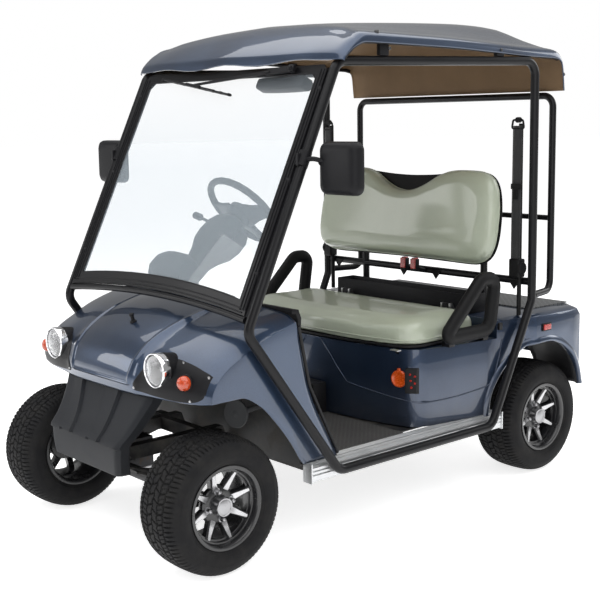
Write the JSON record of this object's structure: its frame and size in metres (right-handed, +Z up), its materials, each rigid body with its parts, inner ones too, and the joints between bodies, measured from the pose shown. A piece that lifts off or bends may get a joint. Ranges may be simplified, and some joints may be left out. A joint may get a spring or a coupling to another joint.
{
  "type": "golf cart",
  "caption": "Open electric golf cart with a moulded roof on bent black tubes, sloping windscreen, bench seat, round headlamps and wide tyres on spoked rims.",
  "frame": {"origin": "on the ground, under the centre of the bounding box", "axes": "+X is the left side of the cart, +Y points to its rear (the front faces -Y) and +Z is up"},
  "size_m": [1.562, 2.178, 1.8679],
  "materials": {
    "body_paint": "metallic gloss",
    "roof": "metallic gloss outside, tan inside",
    "black_tube": "satin",
    "black_plastic": "grained",
    "skirt_plastic": "grained",
    "frame_paint": "matt",
    "cast_parts": "rough",
    "steel": "plain",
    "alloy": "machined and black",
    "sill_alloy": "ribbed",
    "tyre_rubber": "treaded",
    "mat_rubber": "textured",
    "seat_vinyl": "glossy vinyl",
    "clear_glass": "clear",
    "lamp_glass": "fluted in a chrome ring",
    "signal_lens": "amber and red",
    "webbing": "woven"
  },
  "bodies": {
    "cart": {"armrests": "black_plastic", "backrest_cushion": "seat_vinyl", "backrest_shell": "black_plastic", "battery_pack": "black_plastic", "belt_webbing": "webbing", "charge_port": "black_plastic", "chassis_cross": "frame_paint", "chassis_rails": "frame_paint", "cowl_trim": "black_plastic", "dash_panel": "black_plastic", "deck_mat": "mat_rubber", "drive_motor": "cast_parts", "floor_box": "black_plastic", "floor_mat": "mat_rubber", "floor_pan": "black_plastic", "front_axle": "cast_parts", "front_cowl": "body_paint", "front_skirt": "skirt_plastic", "headlamps": "lamp_glass", "horn": "black_plastic", "lamp_pods": "black_plastic", "leaf_springs": "steel", "mirrors": "black_plastic", "pedals": "frame_paint", "rear_axle": "cast_parts", "rear_body": "body_paint", "rear_frame": "black_tube", "rear_tray": "black_plastic", "roof_shell": "roof", "seat_belts": "black_plastic", "seat_hinges": "steel", "seat_support": "black_tube", "side_frame_left": "black_tube", "side_frame_right": "black_tube", "signal_lamps": "signal_lens", "sills": "sill_alloy", "steering_box": "cast_parts", "steering_column": "black_plastic", "windscreen_frame": "black_tube", "windscreen_glass": "clear_glass", "wiper_motor": "black_plastic"},
    "wheel_fl": {"rim_fl": "alloy", "tyre_fl": "tyre_rubber"},
    "wheel_fr": {"rim_fr": "alloy", "tyre_fr": "tyre_rubber"},
    "wheel_rl": {"rim_rl": "alloy", "tyre_rl": "tyre_rubber"},
    "wheel_rr": {"rim_rr": "alloy", "tyre_rr": "tyre_rubber"},
    "left_knuckle": {"knuckle_left": "cast_parts"},
    "right_knuckle": {"knuckle_right": "cast_parts"},
    "track_rod": {"tie_rod": "steel"},
    "pitman": {"pitman_arm": "steel"},
    "hand_wheel": {"steering_wheel": "black_plastic"},
    "seat_bottom": {"seat_plate": "black_plastic", "seat_cushion": "seat_vinyl"},
    "wiper": {"wiper_arm": "black_plastic"}
  },
  "joints": [
    {"name": "steer_left", "type": "hinge", "parent": "cart", "child": "left_knuckle", "pos_m": [0.345, -0.856, 0.233], "axis": [0, 0, 1], "range_deg": [-25, 25]},
    {"name": "steer_right", "type": "hinge", "parent": "cart", "child": "right_knuckle", "pos_m": [-0.345, -0.856, 0.233], "axis": [0, 0, 1], "range_deg": [-25, 25]},
    {"name": "track_rod_swing", "type": "hinge", "parent": "left_knuckle", "child": "track_rod", "pos_m": [0.345, -0.736, 0.18], "axis": [0, 0, 1], "range_deg": [-25, 25]},
    {"name": "pitman_turn", "type": "hinge", "parent": "cart", "child": "pitman", "pos_m": [-0.1, -0.776, 0.2], "axis": [0, 0, 1], "range_deg": [-25, 25]},
    {"name": "hand_wheel_turn", "type": "hinge", "parent": "cart", "child": "hand_wheel", "pos_m": [-0.27, -0.116, 1.11], "axis": [0, 0.766, 0.6428], "range_deg": [-250, 250]},
    {"name": "spin_fl", "type": "hinge", "parent": "left_knuckle", "child": "wheel_fl", "pos_m": [0.468, -0.856, 0.233], "axis": [1, 0, 0], "continuous": true},
    {"name": "spin_fr", "type": "hinge", "parent": "right_knuckle", "child": "wheel_fr", "pos_m": [-0.468, -0.856, 0.233], "axis": [1, 0, 0], "continuous": true},
    {"name": "spin_rl", "type": "hinge", "parent": "cart", "child": "wheel_rl", "pos_m": [0.478, 0.792, 0.233], "axis": [1, 0, 0], "continuous": true},
    {"name": "spin_rr", "type": "hinge", "parent": "cart", "child": "wheel_rr", "pos_m": [-0.478, 0.792, 0.233], "axis": [1, 0, 0], "continuous": true},
    {"name": "seat_lift", "type": "hinge", "parent": "cart", "child": "seat_bottom", "pos_m": [0, 0.49, 0.712], "axis": [-1, 0, 0], "range_deg": [0, 75]},
    {"name": "wiper_sweep", "type": "hinge", "parent": "cart", "child": "wiper", "pos_m": [0.379, -0.37668, 1.63716], "axis": [0, -0.9028, 0.43], "range_deg": [0, 95]}
  ],
  "couplings": [
    {"joint": "steer_right", "follows": "steer_left", "ratio": 1},
    {"joint": "track_rod_swing", "follows": "steer_left", "ratio": -1},
    {"joint": "pitman_turn", "follows": "steer_left", "ratio": 1},
    {"joint": "hand_wheel_turn", "follows": "steer_left", "ratio": 10}
  ]
}
